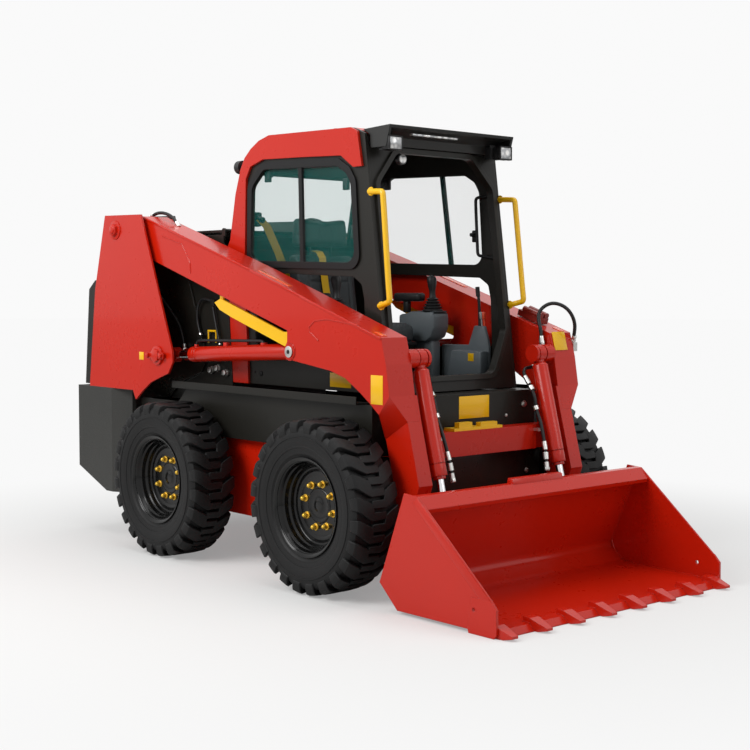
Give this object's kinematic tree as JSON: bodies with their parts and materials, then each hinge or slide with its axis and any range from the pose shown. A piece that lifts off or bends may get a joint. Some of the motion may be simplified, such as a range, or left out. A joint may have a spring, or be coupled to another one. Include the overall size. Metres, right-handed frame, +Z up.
{
  "type": "skid steer loader",
  "caption": "Compact wheeled loader with a hollow cab between two radial lift arms, a toothed bucket on a coupler, hinged rear door and hood, and turning wheels.",
  "frame": {"origin": "middle of the bounding box at floor level, between the four wheels", "axes": "+X forward towards the bucket's teeth, +Y to the operator's left, +Z up"},
  "size_m": [3.45, 1.67, 2.127],
  "materials": {
    "red_paint": "glossy red machine paint",
    "dark_paint": "satin dark grey paint",
    "yellow_paint": "glossy yellow paint",
    "cast_weight": "satin grey paint on a thick casting",
    "rim_black": "black paint",
    "tyre_rubber": "dull black rubber",
    "cylinder_rod": "polished hard chrome",
    "fitting_steel": "zinc plated fittings",
    "engine_iron": "raw casting",
    "glazing": "clear tinted glass",
    "seat_vinyl": "dark vinyl",
    "console_plastic": "grey moulded plastic",
    "lever_plastic": "black rubber and plastic",
    "lamp_body": "clear lens over reflectors",
    "hose_rubber": "black hose"
  },
  "bodies": {
    "chassis": {"main_frame": "red_paint", "upper_frame": "dark_paint", "side_ledges": "dark_paint", "front_plate": "dark_paint", "towers": "red_paint", "rear_bumper": "cast_weight", "axle_hubs": "dark_paint", "engine_block": "engine_iron", "engine_bay_sides": "dark_paint", "cab_floor": "dark_paint", "cab_sides": "dark_paint", "cab_covers": "red_paint", "cab_roof": "red_paint", "cab_rear": "dark_paint", "cab_front_frame": "dark_paint", "visor": "dark_paint", "work_lamps": "lamp_body", "grab_handles": "yellow_paint", "cab_windows": "glazing", "window_frames": "hose_rubber", "seat": "seat_vinyl", "consoles": "console_plastic", "joysticks": "lever_plastic", "bay_hoses": "hose_rubber"},
    "rear_door": {"rear_door": "dark_paint"},
    "hood": {"hood": "dark_paint"},
    "lift_arms": {"arm_beams": "red_paint", "arm_legs": "red_paint", "arm_crossbeam": "red_paint", "beam_step": "yellow_paint", "lock_bars": "yellow_paint", "arm_fittings": "fitting_steel", "arm_hoses": "hose_rubber"},
    "lift_barrels": {"lift_barrels": "red_paint"},
    "lift_rods": {"lift_rods": "cylinder_rod"},
    "tilt_barrels": {"tilt_barrels": "red_paint"},
    "tilt_rods": {"tilt_rods": "cylinder_rod"},
    "bucket": {"bucket_coupler": "red_paint", "bucket_shell": "red_paint", "bucket_sides": "red_paint", "cutting_edge": "red_paint"},
    "wheel_front_right": {"tyre_front_right": "tyre_rubber", "rim_front_right": "rim_black"},
    "wheel_front_left": {"tyre_front_left": "tyre_rubber", "rim_front_left": "rim_black"},
    "wheel_rear_right": {"tyre_rear_right": "tyre_rubber", "rim_rear_right": "rim_black"},
    "wheel_rear_left": {"tyre_rear_left": "tyre_rubber", "rim_rear_left": "rim_black"}
  },
  "joints": [
    {"name": "lift", "type": "hinge", "parent": "chassis", "child": "lift_arms", "pos_m": [-1.305, 0, 1.686], "axis": [0, -1, 0], "range_deg": [0, 57]},
    {"name": "bucket_tilt", "type": "hinge", "parent": "lift_arms", "child": "bucket", "pos_m": [0.9224, 0, 0.1589], "axis": [0, 1, 0], "range_deg": [-25, 97]},
    {"name": "lift_barrel_swing", "type": "hinge", "parent": "lift_arms", "child": "lift_barrels", "pos_m": [0.199, 0, 1.072], "axis": [0, -1, 0], "range_deg": [0, 3.1]},
    {"name": "lift_rod_slide", "type": "slide", "parent": "lift_barrels", "child": "lift_rods", "axis": [-0.9987, 0, -0.0506], "range_m": [0, 0.76]},
    {"name": "tilt_barrel_swing", "type": "hinge", "parent": "lift_arms", "child": "tilt_barrels", "pos_m": [0.837, 0, 1.058], "axis": [0, -1, 0], "range_deg": [-1.6, 6]},
    {"name": "tilt_rod_slide", "type": "slide", "parent": "tilt_barrels", "child": "tilt_rods", "axis": [0.255, 0, -0.9669], "range_m": [-0.091, 0.348]},
    {"name": "rear_door_hinge", "type": "hinge", "parent": "chassis", "child": "rear_door", "pos_m": [-1.632, 0.606, 1.1], "axis": [0, 0, -1], "range_deg": [0, 100]},
    {"name": "hood_hinge", "type": "hinge", "parent": "chassis", "child": "hood", "pos_m": [-0.6, 0, 1.666], "axis": [0, 1, 0], "range_deg": [0, 55]},
    {"name": "wheel_spin_front_right", "type": "hinge", "parent": "chassis", "child": "wheel_front_right", "pos_m": [0.545, -0.7115, 0.395], "axis": [0, 1, 0], "continuous": true},
    {"name": "wheel_spin_front_left", "type": "hinge", "parent": "chassis", "child": "wheel_front_left", "pos_m": [0.545, 0.7115, 0.395], "axis": [0, 1, 0], "continuous": true},
    {"name": "wheel_spin_rear_right", "type": "hinge", "parent": "chassis", "child": "wheel_rear_right", "pos_m": [-0.675, -0.7115, 0.395], "axis": [0, 1, 0], "continuous": true},
    {"name": "wheel_spin_rear_left", "type": "hinge", "parent": "chassis", "child": "wheel_rear_left", "pos_m": [-0.675, 0.7115, 0.395], "axis": [0, 1, 0], "continuous": true}
  ],
  "couplings": [
    {"joint": "lift_barrel_swing", "follows": "lift", "ratio": 0.0537},
    {"joint": "lift_rod_slide", "follows": "lift", "m_per_rad": 0.7604},
    {"joint": "tilt_barrel_swing", "follows": "bucket_tilt", "ratio": 0.0608},
    {"joint": "tilt_rod_slide", "follows": "bucket_tilt", "m_per_rad": 0.2048}
  ]
}
